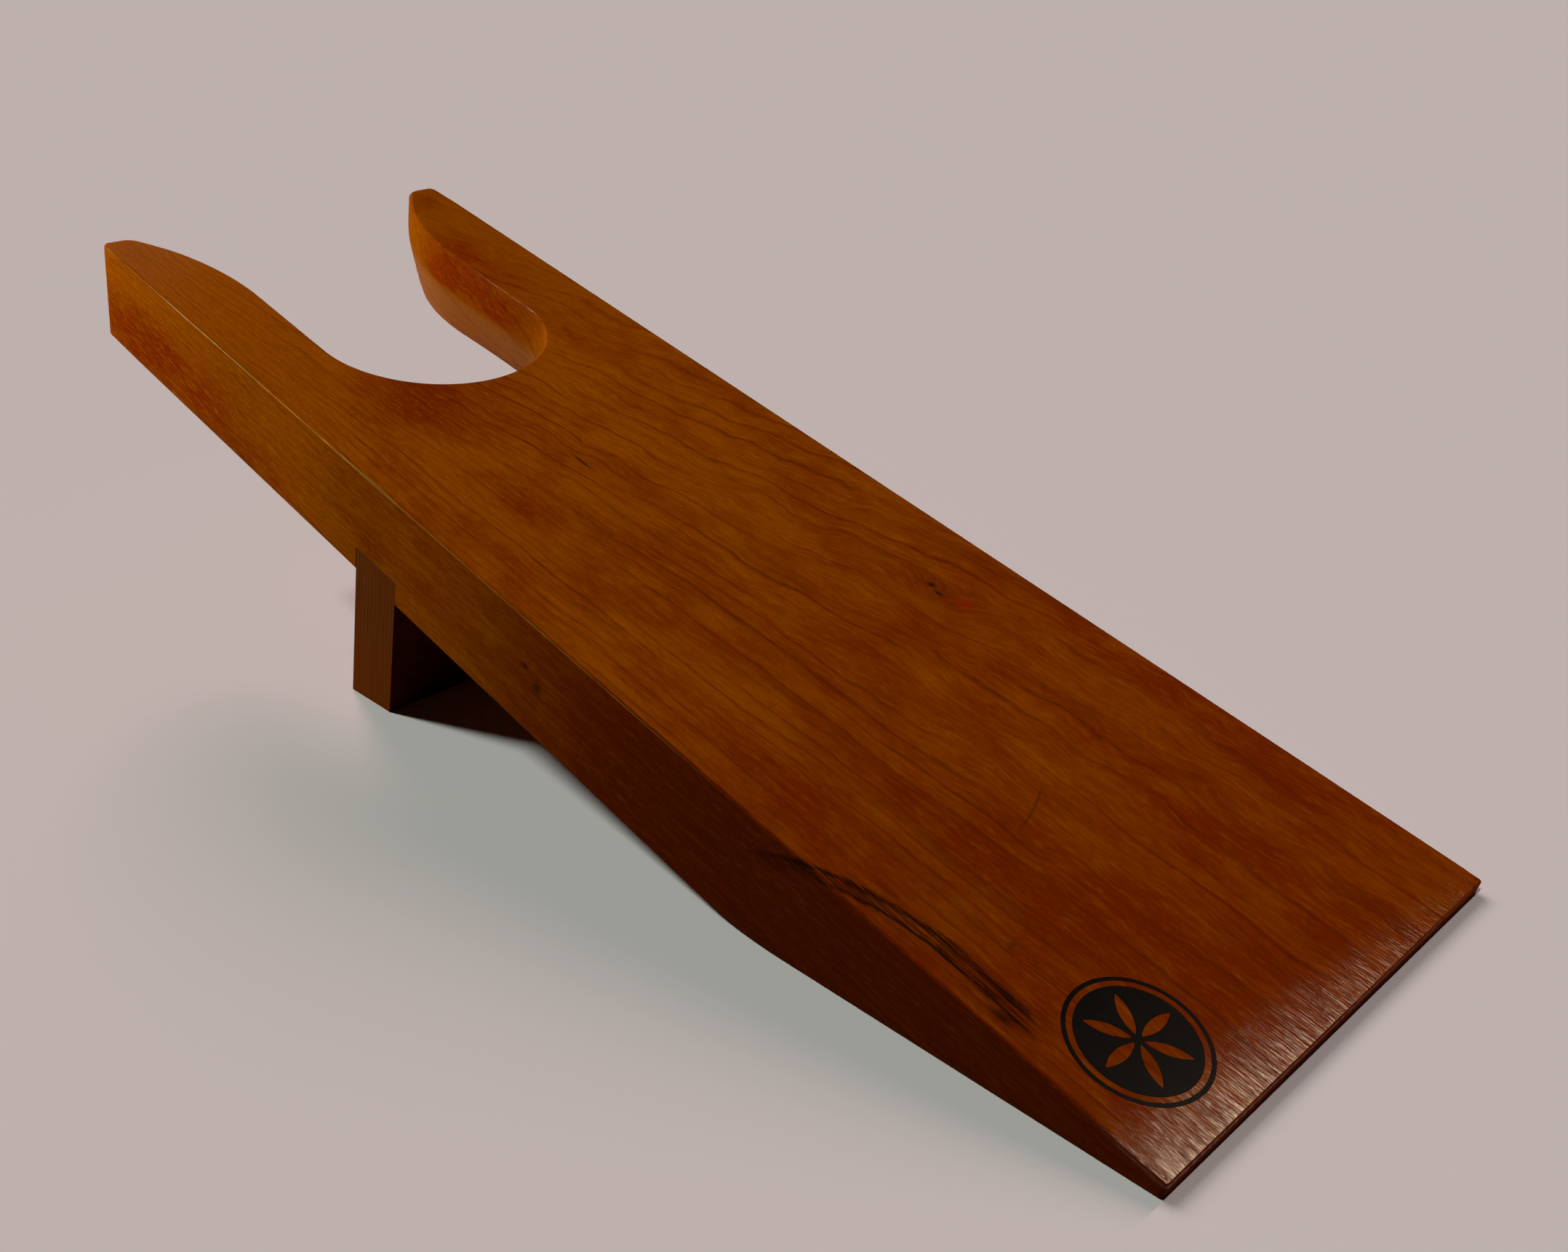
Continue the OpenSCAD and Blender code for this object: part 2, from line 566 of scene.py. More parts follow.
def vector(tree, x, y, z):
    """A vector from three numbers or fields."""
    node = tree.nodes.new("ShaderNodeCombineXYZ")
    for place, value in enumerate((x, y, z)):
        feed(tree, value, node.inputs[place])
    return Field(tree, node.outputs[0])


def noise(tree, x, y, z, detail=2, roughness=0.5):
    """Noise from 0 to 1, about 1 unit from one bump to the next."""
    node = tree.nodes.new("ShaderNodeTexNoise")
    node.inputs["Scale"].default_value = 1
    node.inputs["Detail"].default_value = detail
    node.inputs["Roughness"].default_value = roughness
    feed(tree, vector(tree, x, y, z), node.inputs["Vector"])
    return Field(tree, node.outputs["Fac"])


def colour_mix(tree, share, first, second):
    """The first colour where the share is 0, and the second where it is 1."""
    node = tree.nodes.new("ShaderNodeMix")
    node.data_type = "RGBA"
    feed(tree, share, node.inputs[0])
    feed(tree, first, node.inputs[6])
    feed(tree, second, node.inputs[7])
    return Field(tree, node.outputs[2])


def board_place(tree):
    """x, y and z in board coordinates, in millimetres, at each point of a surface."""
    place = tree.nodes.new("ShaderNodeTexCoord")
    mapping = tree.nodes.new("ShaderNodeMapping")
    mapping.vector_type = "TEXTURE"
    mapping.inputs["Location"].default_value = BOARD_ORIGIN
    mapping.inputs["Rotation"].default_value = (TILT, 0, 0)
    mapping.inputs["Scale"].default_value = (MM, MM, MM)
    tree.links.new(place.outputs["Object"], mapping.inputs["Vector"])
    split = tree.nodes.new("ShaderNodeSeparateXYZ")
    tree.links.new(mapping.outputs[0], split.inputs[0])
    return [Field(tree, output) for output in split.outputs]


def surface_normal(tree, direction):
    """How far a surface faces along a direction of the object's frame, from -1 to 1."""
    geometry_node = tree.nodes.new("ShaderNodeNewGeometry")
    dot = tree.nodes.new("ShaderNodeVectorMath")
    dot.operation = "DOT_PRODUCT"
    tree.links.new(geometry_node.outputs["Normal"], dot.inputs[0])
    dot.inputs[1].default_value = direction
    return Field(tree, dot.outputs["Value"])


def empty_material(name, kind="ShaderNodeBsdfPrincipled"):
    """A material with one shader and nothing else: the material, its node tree and the shader."""
    material = bpy.data.materials.new(name)
    material.use_nodes = True
    tree = material.node_tree
    tree.nodes.clear()
    shader = tree.nodes.new(kind)
    output = tree.nodes.new("ShaderNodeOutputMaterial")
    tree.links.new(shader.outputs[0], output.inputs["Surface"])
    return material, tree, shader


def relief(tree, height, distance):
    """A bump from a height field, in units of a distance in metres."""
    node = tree.nodes.new("ShaderNodeBump")
    node.inputs["Strength"].default_value = 1
    node.inputs["Distance"].default_value = distance
    feed(tree, height, node.inputs["Height"])
    return Field(tree, node.outputs[0])


# Cherry under a warm varnish, as linear colours
STRAW = (0.275, 0.080, 0.0003, 1)
GOLD = (0.222, 0.050, 0.0002, 1)
AMBER = (0.175, 0.031, 0.0002, 1)
RUSSET = (0.135, 0.0138, 0.0002, 1)
FLAME = (0.175, 0.0150, 0.0002, 1)
UMBER = (0.070, 0.012, 0.0002, 1)
LINE = (0.068, 0.008, 0.0002, 1)
BARK = (0.009, 0.003, 0.0010, 1)
# The colour of painted shade
SHADE = (0.012, 0.001, 0.0001, 1)
# The colour of the painted highlight along the near arris
ARRIS_HIGHLIGHT = (0.640, 0.370, 0.070, 1)
KNOT_RED = (0.20, 0.012, 0.001, 1)

# How deep the wood's grain and the varnish's waves are, in metres
WOOD_RELIEF = 0.00010
VARNISH_RELIEF = 0.00008
# The coat's weight where the varnish is thinnest
BARE_GLOSS = 0.008

# The way that the near top arris faces, between the side and the top face
NEAR_ARRIS = (-0.7071, -0.1878, 0.6817)

# The growth lines run straight by the toe. From here on they lean to the near side, after a soft bend
LEAN_FROM = 92
LEAN_BEND = 780
LEAN = 0.0033
# Rings are narrow by the near side, and widen away from it
RING_SPREAD = 48
RING_COUNT = 20
# The pin knot, and the middle of the swirl that the growth lines make round it
KNOT_AT = (82, 106.5)
SWIRL_AT = (82, 110)
# Where the bark pocket is furthest in from the near side
STREAK_AT = (6.9, 44)
# How far a patch reaches in the direction that its row doesn't give
PATCH_REACH = 9

# Redder patches: x, y, depth, the reach along, the reach across in millimetres, and the strength
PATCHES = (
    (24, 230, 0, 15, 11, 0.8),
    (26, 184, 0, 14, 7, 0.7),
    (26, 78, 0, 16, 8, 0.2),
    (8, 122, 0, 14, 8, 0.3),
    (26, 50, 0, 14, 8, 0.4),
    (70, 40, 0, 22, 9, 0.35),
    (96, 36, 0, 22, 6, 0.4),
    (54, 160, 0, 20, 8, 0.20),
    (22, 152, 0, 16, 13, 0.35),
    (10, 88, 0, 20, 9, 0.6),
    (78, 200, 0, 20, 8, 0.3),
    (78, 150, 0, 16, 8, 0.2),
    (95, 168, 0, 22, 8, 0.35),
    (94, 326, 0, 12, 9, 0.8),
    (88, 300, 0, 16, 5, 0.3),
)

# Patches of flame red: x, y, depth, the reach along and the reach down in millimetres, and the strength
FLAMES = (
    (0, 322, 20, 16, 10, 1.2),
    (0, 303, 15, 12, 6, 1.0),
    (0, 290, 20, 14, 8, 0.9),
    (0, 270, 16, 14, 8, 0.6),
    (0, 250, 22, 12, 5, 0.4),
    (82, 294, 4, 13, 8, 1.2),
    (82, 300, 9, 8, 5, 0.9),
    (82, 274, 6, 14, 7, 1.2),
)


def growth(tree, x, y, depth):
    """A count of the growth rings from the near side, and the same before it is spaced into rings."""
    past = y - LEAN_FROM
    lean = (past + (past * past + LEAN_BEND).math("SQRT")) * 0.5
    swirl = x.hill(SWIRL_AT[0], 7) * y.hill(SWIRL_AT[1], 10)
    bow = (x - SWIRL_AT[0]) * swirl * -0.85 + swirl * 1.5
    loose = x.step(12, 76) * 0.8 + 0.2
    wide = (noise(tree, x * 0.028, y * 0.009, depth * 0.03) - 0.5) * 9
    close = (noise(tree, x * 0.055, y * 0.052, depth * 0.06, 1) - 0.5) * 8.5 * loose
    wiggle = (noise(tree, x * 0.16 + 5, y * 0.16, depth * 0.16, 1) - 0.5) * 1.7 * loose
    across = x + depth * 0.8 + 2 + bow + wide + close + wiggle
    flow = across * (lean * LEAN).math("EXPONENT")
    rings = (flow.at_least(0) / RING_SPREAD + 1).math("LOGARITHM", math.e) * RING_COUNT
    return rings, flow


def on_side(x):
    """1 on the board's near side, and 0 on its top face."""
    return x.step(1.0, 0.2)


def on_top(depth):
    """1 on the board's top face, and 0 below it."""
    return depth.step(0.6, 0.2)


def ring_lines(tree, rings, x, y, depth, thin, seed):
    """Dark lines at the end of each ring, some strong and some faint, and the tint that leads up to them."""
    jitter = (noise(tree, x * 0.5 + seed, y * 0.05, depth * 0.5, 1) - 0.5) * 0.30
    count = rings + jitter
    part = count.math("FRACT")
    which = count.math("FLOOR")
    strength = noise(tree, which * 3.71 + seed, y * 0.016, x * 0.01, 1).step(0.36, 0.70)
    broken = noise(tree, x * 1.4 + seed, y * 0.22, depth * 1.4, 2, 0.6).step(0.28, 0.56) * 0.7 + 0.3
    line = part.hill(0.84, thin) * (strength * 0.9 + 0.1) * broken
    tint = part.step(0.30, 0.84) * part.step(0.94, 0.84) * (strength * 0.6 + 0.1)
    return line, tint


def streak(tree, x, y, depth):
    """The bark pocket that crosses the near arris by the toe: how dark it is at each point."""
    folded = x - depth
    far = (y - STREAK_AT[1]).at_least(0)
    near = (STREAK_AT[1] - y).at_least(0)
    middle = STREAK_AT[0] - far * far * 0.0090 - near * near * 0.0030
    ragged = (noise(tree, x * 0.5, y * 0.14, depth * 0.5, 3, 0.7) - 0.5) * 2.2
    off = folded - middle + ragged
    ends = y.step(25, 32) * y.step(92, 70)
    fibres = noise(tree, folded * 2.6, y * 0.12, 4.2, 3, 0.65).step(0.36, 0.60)
    band = off.hill(-0.4, 1.7) * (fibres * 0.95 + 0.05)
    upper = off.hill(0.9, 0.55) * (fibres * 0.6 + 0.4)
    lower = off.hill(-1.6, 0.45) * y.step(74, 60) * (fibres * 0.5 + 0.5)
    hole = y.hill(33, 2.4) * folded.hill(3.4, 0.8)
    near_side = x.step(22, 18)
    return ((band * 0.7 + upper + lower * 0.9) * ends + hole * 0.8) * near_side


def small_marks(x, y, depth):
    """A check, a scratch, and the specks of the knots on the top face and on the near side."""
    check = (x - 45.4 - (y - 190) * 0.03).hill(0, 0.3) * y.hill(190.5, 3.6)
    along = x - 37
    scratch = (y - 57 - along * 0.10 - along * along * 0.018).hill(0, 0.28)
    scratch = scratch * x.step(37, 40) * x.step(53, 49)
    dot = x.hill(16.2, 0.9) * y.hill(41, 0.6)
    fleck = x.hill(81.2, 0.8) * y.hill(115.2, 0.9)
    fleck2 = x.hill(80.2, 0.5) * y.hill(112.2, 1.2)
    side = x.step(1.2, 0.6)
    eye = depth.hill(13.6, 1.3) * y.hill(144.4, 1.2)
    speck = depth.hill(10.8, 0.7) * y.hill(148.6, 0.9)
    top_marks = check * 0.9 + scratch * 0.35 + dot * 0.5 + fleck + fleck2
    return top_marks * on_top(depth) + (eye + speck) * side * 0.7


def patch_field(x, y, depth, patches):
    """The sum of some soft patches. Each reaches along the board, and across it or down its side."""
    total = 0
    for px, py, pz, reach_y, reach, amount in patches:
        spot = x.hill(px, PATCH_REACH if pz else reach) * y.hill(py, reach_y)
        total = spot * depth.hill(pz, reach if pz else PATCH_REACH) * amount + total
    return total


def redness(tree, x, y, depth, mottle):
    """How red the wood is: 0 where it is golden and 1 where it is russet."""
    cloud = noise(tree, x * 0.035 + 7, y * 0.014, depth * 0.06, 3, 0.55)
    red = cloud.step(0.36, 0.68) * 0.45 + y.step(140, 10) * 0.55 + (mottle - 0.5) * 1.4
    red = red + on_side(x) * y.step(190, 90) * 1.2
    red = red + patch_field(x, y, depth, PATCHES)
    gold = x.step(34, 4) * y.step(230, 150) * y.step(100, 160) * 0.15 + y.step(215, 320) * 0.45
    return (red - gold).at_least(0).at_most(1)


def painted_shade_and_darkening(x, y, depth):
    """How far the wood is darkened: painted shade on the near side where its light falls off, and darker
    places on the top face.
    """
    side = on_side(x)
    low_tip = y.step(284, 318) * depth.step(6, 13) * 0.12
    side_shade = low_tip + y.hill(208, 14) * 0.06 + y.step(202, 80) * 0.49
    side_shade = side * (side_shade - y.hill(240, 16) * 0.09 + 0.14)
    top = y.step(140, 60) * x.step(80, 0) * 0.12 + x.step(60, 90) * y.step(230, 270) * 0.10
    top = top + y.hill(160, 45) * 0.06
    return side_shade + top * (1 - side)


def wood_colour(tree, x, y, depth, fibre, hair, fleck):
    """The varnished board's colour before its growth lines."""
    mottle = noise(tree, x * 0.13, y * 0.07, depth * 0.16 + 3, 3, 0.55)
    side = on_side(x)
    red = redness(tree, x, y, depth, mottle)
    base = colour_mix(tree, red.step(0.0, 0.5), GOLD, AMBER)
    base = colour_mix(tree, red.step(0.35, 1.0), base, RUSSET)
    flame = patch_field(x, y, depth, FLAMES) * (mottle.step(0.30, 0.60) * 0.6 + 0.4)
    base = colour_mix(tree, flame.at_most(0.95), base, FLAME)

    notch = abs(x - HALF).step(HALF - 10, HALF - 24) * y.step(228, 234) * depth.step(0.6, 1.4)
    # The notch's lower bevel is painted paler, as a painted sheen of the floor's light on it
    bevel_sheen_paint = notch * (depth + mottle * 4).step(12.5, 15)
    base = colour_mix(tree, bevel_sheen_paint * 0.75, base, STRAW)
    dashes = fleck.step(0.52, 0.70) * (side * y.step(190, 250) * 0.40 + y.step(90, 230) * 0.26 + 0.14)
    base = colour_mix(tree, dashes, base, STRAW)

    rough_side = side * 0.5 + 1
    grain = (fibre.step(0.28, 0.74) - 0.5) * 0.36 + (hair - 0.5) * 0.72 * rough_side
    grain = grain + (fleck.step(0.3, 0.7) - 0.5) * 0.22
    base = colour_mix(tree, (grain * -1).at_least(0) * 1.5, base, UMBER)
    base = colour_mix(tree, grain.at_least(0) * 0.9, base, STRAW)
    # Painted shade darkens the near side where its light falls off, and the top face in a few places
    return colour_mix(tree, painted_shade_and_darkening(x, y, depth), base, SHADE)


def add_pores(tree, base, flow, y, depth):
    """The colour with short dark pores, and pale wood between them."""
    pores = noise(tree, flow * 4.0, y * 0.46, depth * 4.0, 3, 0.62)
    base = colour_mix(tree, pores.step(0.50, 0.72) * 0.30, base, UMBER)
    return colour_mix(tree, pores.step(0.44, 0.28) * (y.step(60, 220) * 0.14 + 0.16), base, STRAW)


def add_rings(tree, base, rings, line, tint, x, y, depth):
    """The colour with the board's growth lines, and broad dark bands towards the toe."""
    fine_line, _ = ring_lines(tree, rings * 2.7, x, y, depth, 0.13, 40)
    _, band = ring_lines(tree, rings * 0.45, x, y, depth, 0.2, 80)
    base = colour_mix(tree, band * y.step(200, 120) * 0.55, base, LINE)
    quiet = 1 - on_side(x) * y.step(60, 150) * 0.55 - x.step(0.8, 1.4) * y.step(222, 275) * 0.4
    base = colour_mix(tree, (tint * 0.28 + fine_line * 0.16) * quiet, base, RUSSET)
    return colour_mix(tree, line * 0.66 * quiet, base, LINE)


def add_marks(tree, base, bark, x, y, depth):
    """The colour with the end grain, the knot, the painted highlight on the near arris, the bark pocket and
    the small marks.
    """
    end = abs(surface_normal(tree, (0, math.cos(TILT), math.sin(TILT)))).step(0.55, 0.95)
    base = colour_mix(tree, end * 0.2, base, RUSSET)
    knot = x.hill(KNOT_AT[0], 1.9) * y.hill(KNOT_AT[1], 2.2) * on_top(depth)
    base = colour_mix(tree, knot * 0.7, base, KNOT_RED)
    # A painted highlight along the near arris, strongest towards the horn
    arris_highlight = painted_arris_highlight(tree, x, y) * y.step(84, 130) * y.step(314, 290)
    base = colour_mix(tree, arris_highlight * (y.step(200, 226) * 0.16 + 0.14), base, ARRIS_HIGHLIGHT)
    base = colour_mix(tree, bark.at_most(0.93), base, BARK)
    return colour_mix(tree, small_marks(x, y, depth).at_most(0.85), base, BARK)


def varnished_wood(name):
    """Warm flat-sawn cherry with growth lines that run along the board, under a thin gloss varnish."""
    material, tree, shader = empty_material(name)
    x, y, z = board_place(tree)
    depth = (z * -1).at_least(0)
    rings, flow = growth(tree, x, y, depth)
    line, tint = ring_lines(tree, rings, x, y, depth, 0.085, 0)
    fibre = noise(tree, flow * 0.8, y * 0.045, depth * 0.8, 3, 0.65)
    hair = noise(tree, flow * 1.9, y * 0.46, depth * 1.9, 4, 0.72)
    fleck = noise(tree, flow * 1.0 + 3, y * 0.22, depth, 4, 0.66)
    bark = streak(tree, x, y, depth)

    base = wood_colour(tree, x, y, depth, fibre, hair, fleck)
    base = add_pores(tree, base, flow, y, depth)
    base = add_rings(tree, base, rings, line, tint, x, y, depth)
    feed(tree, add_marks(tree, base, bark, x, y, depth), shader.inputs["Base Color"])
    feed(tree, 0.5 + (fibre - 0.5) * 0.2 + bark * 0.25, shader.inputs["Roughness"])
    shader.inputs["Specular IOR Level"].default_value = 0.0
    feed(tree, varnish_gloss(tree, x, y, depth), shader.inputs["Coat Weight"])
    shader.inputs["Coat Roughness"].default_value = 0.11
    shader.inputs["Coat IOR"].default_value = 1.4

    ripple = noise(tree, x * 0.9, y * 0.10, depth * 0.9, 2, 0.6)
    height = hair * 0.6 + fibre * 0.4 + ripple * 0.5 - line * 0.35 - bark * 0.6
    feed(tree, relief(tree, height, WOOD_RELIEF), shader.inputs["Normal"])
    pore = noise(tree, x * 2.2, y * 0.22, depth * 2.2, 2, 0.6)
    film = ripple * 0.7 + fibre * 0.3 + pore * 0.9
    feed(tree, relief(tree, film, VARNISH_RELIEF), shader.inputs["Coat Normal"])
    return material


def on_near_arris(tree):
    """1 on the near top arris, and 0 on the faces beside it."""
    return surface_normal(tree, NEAR_ARRIS).step(0.88, 0.97)


def painted_arris_highlight(tree, x, y):
    """A painted highlight in a broken line along the near arris."""
    highlight_breaks = noise(tree, x * 2, y * 0.35, 3, 2, 0.6).step(0.22, 0.40) * 0.8 + 0.2
    return on_near_arris(tree) * x.step(3, 2) * highlight_breaks


def varnish_gloss(tree, x, y, depth):
    """How glossy the varnish is. It is thickest on the arrises, in the notch and at the toe."""
    near = x.step(3, 2) * y.step(196, 228) * y.step(312, 270) * 0.07
    far = x.step(78, 80) * y.step(250, 256) * y.step(288, 272) * 0.10
    notch = abs(x - HALF).step(HALF - 8, HALF - 18) * y.step(226, 236) * depth.step(9, 16)
    strands = noise(tree, x * 0.9, y * 0.20, 1, 3, 0.65).step(0.40, 0.66)
    reach = x * -0.11 + 17
    toe = ((reach - y) / reach).step(0.05, 1.0) * depth.step(1.0, 0.4)
    toe = toe * (strands * 0.7 + 0.3) * x.step(135, -20)
    return (on_near_arris(tree) * (near + far) + notch * 0.16 + toe * 1.25 + BARE_GLOSS).at_most(1)


FOOT_PALE = (0.108, 0.027, 0.004, 1)
FOOT_DARK = (0.046, 0.009, 0.0005, 1)
# The foot's long faces, painted dark as painted shade under the board
FOOT_LONG_SHADED = (0.034, 0.004, 0.0004, 1)
FOOT_LOW = (0.108, 0.020, 0.0005, 1)
GLUE_DARK = (0.030, 0.011, 0.002, 1)
GLUE_PALE = (0.055, 0.022, 0.005, 1)
INK = (0.0012, 0.0009, 0.0012, 1)
INK_FIBRE = (0.0045, 0.0028, 0.0035, 1)
INK_SCUFF = (0.010, 0.008, 0.009, 1)
PAPER = (0.800, 0.690, 0.665, 1)
PAPER_CLOUD = (0.780, 0.676, 0.652, 1)
# How deep the foot's grain, the glue's waves and the ink's fibres are, in metres
FOOT_RELIEF = 0.00005
GLUE_RELIEF = 0.00005
INK_RELIEF = 0.00006


def foot_wood(name):
    """The cross foot's wood: its grain runs across the board, so its ends show upright growth lines."""
    material, tree, shader = empty_material(name)
    x, y, z = board_place(tree)
    depth = z * -1
    bend = (noise(tree, x * 0.02, y * 0.05, depth * 0.03) - 0.5) * 3
    count = (y + bend + depth * 0.04) * 0.78
    part = count.math("FRACT")
    line = part.step(0.35, 0.8) * part.step(0.96, 0.82)
    pores = noise(tree, x * 0.2, y * 5.5, depth * 1.3, 2, 0.6)
    fibre = noise(tree, x * 0.06, y * 1.5, depth * 1.5, 3, 0.6)
    end = abs(surface_normal(tree, (1, 0, 0))).step(0.6, 0.9)
    # The long faces are painted dark, as painted shade under the board
    shaded_long_face = colour_mix(tree, fibre.step(0.3, 0.75) * 0.25 + line * 0.1, FOOT_LONG_SHADED, UMBER)
    threads = noise(tree, x * 0.2, y * 3.2, depth * 0.05, 2, 0.6).step(0.42, 0.66)
    upright = line * 0.35 + threads * 0.35 + pores.step(0.45, 0.75) * 0.4
    end_face = colour_mix(tree, upright, FOOT_PALE, FOOT_DARK)
    end_face = colour_mix(tree, depth.step(34, 56) * 0.5, end_face, FOOT_LOW)
    base = colour_mix(tree, end, shaded_long_face, end_face)
    feed(tree, base, shader.inputs["Base Color"])
    feed(tree, 0.46 + (fibre - 0.5) * 0.2, shader.inputs["Roughness"])
    shader.inputs["Specular IOR Level"].default_value = 0.0
    shader.inputs["Coat Weight"].default_value = 0.008
    shader.inputs["Coat Roughness"].default_value = 0.28
    height = pores * 0.5 + fibre * 0.4 - line * 0.2
    feed(tree, relief(tree, height, FOOT_RELIEF), shader.inputs["Normal"])
    return material


def dried_glue(name):
    """Wood glue, darkened by age, with an uneven waxy surface."""
    material, tree, shader = empty_material(name)
    x, y, z = board_place(tree)
    cloud = noise(tree, x * 0.3, y * 0.3, z * 0.3, 3, 0.6)
    base = colour_mix(tree, cloud.step(0.35, 0.7), GLUE_DARK, GLUE_PALE)
    feed(tree, base, shader.inputs["Base Color"])
    feed(tree, 0.3 + cloud * 0.25, shader.inputs["Roughness"])
    shader.inputs["Specular IOR Level"].default_value = 0.02
    feed(tree, relief(tree, cloud, GLUE_RELIEF), shader.inputs["Normal"])
    return material


def glossy_ink(name):
    """Black inlay under the varnish, with the wood's fibres faintly printed through and a few scuffs."""
    material, tree, shader = empty_material(name)
    x, y, z = board_place(tree)
    fibre = noise(tree, x * 1.8, y * 0.14, z * 1.8, 3, 0.65)
    scuff = noise(tree, x * 0.35, y * 0.5, 9, 3, 0.6).step(0.55, 0.8)
    base = colour_mix(tree, fibre.step(0.4, 0.75) * 0.5, INK, INK_FIBRE)
    base = colour_mix(tree, scuff * 0.3, base, INK_SCUFF)
    feed(tree, base, shader.inputs["Base Color"])
    feed(tree, 0.34 + scuff * 0.2, shader.inputs["Roughness"])
    shader.inputs["Specular IOR Level"].default_value = 0.02
    shader.inputs["Coat Weight"].default_value = 0.02
    shader.inputs["Coat Roughness"].default_value = 0.14
    feed(tree, relief(tree, fibre, INK_RELIEF), shader.inputs["Normal"])
    return material


def floor_paper(name):
    """Pale matt studio floor with a barely visible tooth."""
    material, tree, shader = empty_material(name)
    place = tree.nodes.new("ShaderNodeTexCoord")
    split = tree.nodes.new("ShaderNodeSeparateXYZ")
    tree.links.new(place.outputs["Object"], split.inputs[0])
    x, y, z = [Field(tree, output) for output in split.outputs]
    tooth = noise(tree, x * 900, y * 900, z, 2, 0.6)
    cloud = noise(tree, x * 5, y * 5, z, 2, 0.5)
    share = (tooth - 0.5) * 0.25 + cloud * 0.3
    base = colour_mix(tree, share, PAPER, PAPER_CLOUD)
    feed(tree, base, shader.inputs["Base Color"])
    shader.inputs["Roughness"].default_value = 0.9
    shader.inputs["Specular IOR Level"].default_value = 0.0
    return material


# ---------------------------------------------------------------- stage

# The camera's place in metres, its turn in degrees, and its lens
CAMERA_AT = (-0.20466, -0.24684, 0.17063)
CAMERA_TURN = (67.264, 1.926, -42.573)
SENSOR = 36
LENS = 35.60
SHIFT = (0.0479, -0.0524)
# How far the floor reaches each way, in metres
FLOOR_REACH = 30
# Where the floor's apron begins, just in front of the toe
APRON_FROM = -0.1648
# The backdrop's colour, which is the lit floor's, and its radius in metres
BACKDROP = (0.513, 0.438, 0.420, 1)
BACKDROP_R = 12
# Tints of the lights, and the colour and strength of the faint light from all round
COOL = (0.832, 1.0, 0.958)
ROSY = (1.0, 0.638, 0.712)
WARM = (1.0, 0.80, 0.55)
PLAIN = (1, 1, 1)
DUSK = (1.0, 0.70, 0.50, 1)
DUSK_LIGHT = 0.006
# The two suns behind the object: name, the way to each, strength, spread in degrees, and tint
BACK_SUNS = (
    ("key", (-0.30, 0.66, 0.69), 2.18, 8, COOL),
    ("back", (0.33, 0.80, 0.52), 1.46, 20, ROSY),
)
# Fill for the object alone: suns as above, and panels with a name, place, target, size, strength and tint
FILL_SUNS = (
    ("front", (0.0, -0.45, 0.89), 0.18, 30, COOL),
    ("side", (0.42, -0.25, 0.87), 0.20, 24, ROSY),
)
FILL_PANELS = (
    ("sheen", (0.62, -0.34, 0.80), (0.0, -0.16, 0.0), (0.25, 0.25), 3.8, WARM),
    ("near", (-0.16, 0.30, 0.16), (-0.03, 0.10, 0.06), (0.08, 0.08), 0.84, PLAIN),
)
# The two suns of the apron: name, the way to each, spread in degrees, and share of the apron's light
APRON_SUNS = (
    ("apron_low", (0.05, 0.60, 0.80), 42, 0.56),
    ("apron_high", (0.0, -0.40, 0.92), 40, 0.44),
)


def link(thing):
    """Puts an object in the scene."""
    bpy.context.scene.collection.objects.link(thing)
    return thing


def add_camera():
    """A camera close to the toe's near side, looking along the board to the far horn."""
    data = bpy.data.cameras.new("camera")
    data.sensor_width = SENSOR
    data.lens = LENS
    data.shift_x, data.shift_y = SHIFT
    data.clip_start = 0.01
    data.clip_end = 200
    camera = link(bpy.data.objects.new("camera", data))
    camera.location = CAMERA_AT
    camera.rotation_euler = [math.radians(angle) for angle in CAMERA_TURN]
    bpy.context.scene.camera = camera


def add_sun(name, towards, strength, spread, colour):
    """A soft distant light, from the direction that it comes from, with its spread in degrees."""
    data = bpy.data.lights.new(name, "SUN")
    data.energy = strength
    data.angle = math.radians(spread)
    data.color = colour
    sun = link(bpy.data.objects.new(name, data))
    sun.rotation_euler = Vector(towards).to_track_quat("Z", "Y").to_euler()
    return sun


def add_panel(name, place, target, size, strength, colour):
    """A flat soft light at a place, turned to a target, with its width and height in metres."""
    data = bpy.data.lights.new(name, "AREA")
    data.shape = "RECTANGLE"
    data.size, data.size_y = size
    data.energy = strength
    data.color = colour
    panel = link(bpy.data.objects.new(name, data))
    panel.location = place
    panel.rotation_euler = (Vector(place) - Vector(target)).to_track_quat("Z", "Y").to_euler()
    return panel


def light_only(light, *things):
    """Limits a light to some things. Everything still casts its shadow."""
    group = bpy.data.collections.new(light.name + "_lights")
    for thing in things:
        group.objects.link(thing)
    light.light_linking.receiver_collection = group


def add_world(colour, strength):
    """A faint even light from all round."""
    world = bpy.data.worlds.new("world")
    world.use_nodes = True
    background = world.node_tree.nodes["Background"]
    background.inputs["Color"].default_value = colour
    background.inputs["Strength"].default_value = strength
    bpy.context.scene.world = world


def add_floor(name, material, low_y, high_y):
    """A strip of the floor as wide as the stage, between two places along it."""
    mesh = bpy.data.meshes.new(name)
    low = [(-FLOOR_REACH, low_y, 0), (FLOOR_REACH, low_y, 0)]
    high = [(FLOOR_REACH, high_y, 0), (-FLOOR_REACH, high_y, 0)]
    mesh.from_pydata(low + high, [], [(0, 1, 2, 3)])
    mesh.materials.append(material)
    floor = link(bpy.data.objects.new(name, mesh))
    return floor


